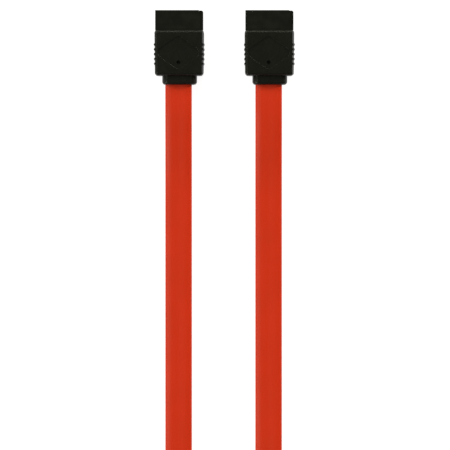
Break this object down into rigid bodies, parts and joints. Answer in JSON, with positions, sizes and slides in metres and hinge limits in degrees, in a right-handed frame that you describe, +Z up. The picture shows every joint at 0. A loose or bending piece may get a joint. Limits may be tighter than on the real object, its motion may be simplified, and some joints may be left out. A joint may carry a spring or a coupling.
{
  "type": "flat drive data cable",
  "caption": "Flat data cable for a computer drive, with a moulded plug with a keyed slot and sprung contacts on each end, laid out with both plugs side by side and the cable in an open loop.",
  "frame": {"origin": "on the surface that the cable lies on, midway between the two plugs and halfway along them", "axes": "+X across the two plugs, +Y the way their noses point, +Z up from the surface"},
  "size_m": [0.0502, 0.2352, 0.0079],
  "materials": {
    "outer_mould": "fine matte moulded vinyl, soft black",
    "contact_housing": "satin moulded black nylon",
    "inner_mould": "natural polyethylene",
    "contact": "gold flash over copper alloy",
    "core_insulation": "foamed white polyethylene",
    "tinned_wire": "tinned copper",
    "foil_shield": "bright foil",
    "cable_jacket": "smooth satin red vinyl"
  },
  "bodies": {
    "root": {"left_outer_mould": "outer_mould", "left_contact_housing": "contact_housing", "left_inner_mould": "inner_mould", "left_contact_1": "contact", "left_contact_2": "contact", "left_contact_3": "contact", "left_contact_4": "contact", "left_contact_5": "contact", "left_contact_6": "contact", "left_contact_7": "contact", "left_core_insulation_1": "core_insulation", "left_core_insulation_2": "core_insulation", "left_core_insulation_3": "core_insulation", "left_core_insulation_4": "core_insulation", "left_core_conductor_1": "tinned_wire", "left_core_conductor_2": "tinned_wire", "left_core_conductor_3": "tinned_wire", "left_core_conductor_4": "tinned_wire", "left_drain_wire_1": "tinned_wire", "left_drain_wire_2": "tinned_wire", "left_drain_wire_3": "tinned_wire", "left_drain_wire_4": "tinned_wire", "left_foil_shield_1": "foil_shield", "left_foil_shield_2": "foil_shield", "right_outer_mould": "outer_mould", "right_contact_housing": "contact_housing", "right_inner_mould": "inner_mould", "right_contact_1": "contact", "right_contact_2": "contact", "right_contact_3": "contact", "right_contact_4": "contact", "right_contact_5": "contact", "right_contact_6": "contact", "right_contact_7": "contact", "right_core_insulation_1": "core_insulation", "right_core_insulation_2": "core_insulation", "right_core_insulation_3": "core_insulation", "right_core_insulation_4": "core_insulation", "right_core_conductor_1": "tinned_wire", "right_core_conductor_2": "tinned_wire", "right_core_conductor_3": "tinned_wire", "right_core_conductor_4": "tinned_wire", "right_drain_wire_1": "tinned_wire", "right_drain_wire_2": "tinned_wire", "right_drain_wire_3": "tinned_wire", "right_drain_wire_4": "tinned_wire", "right_foil_shield_1": "foil_shield", "right_foil_shield_2": "foil_shield", "cable_jacket": "cable_jacket"}
  },
  "joints": []
}
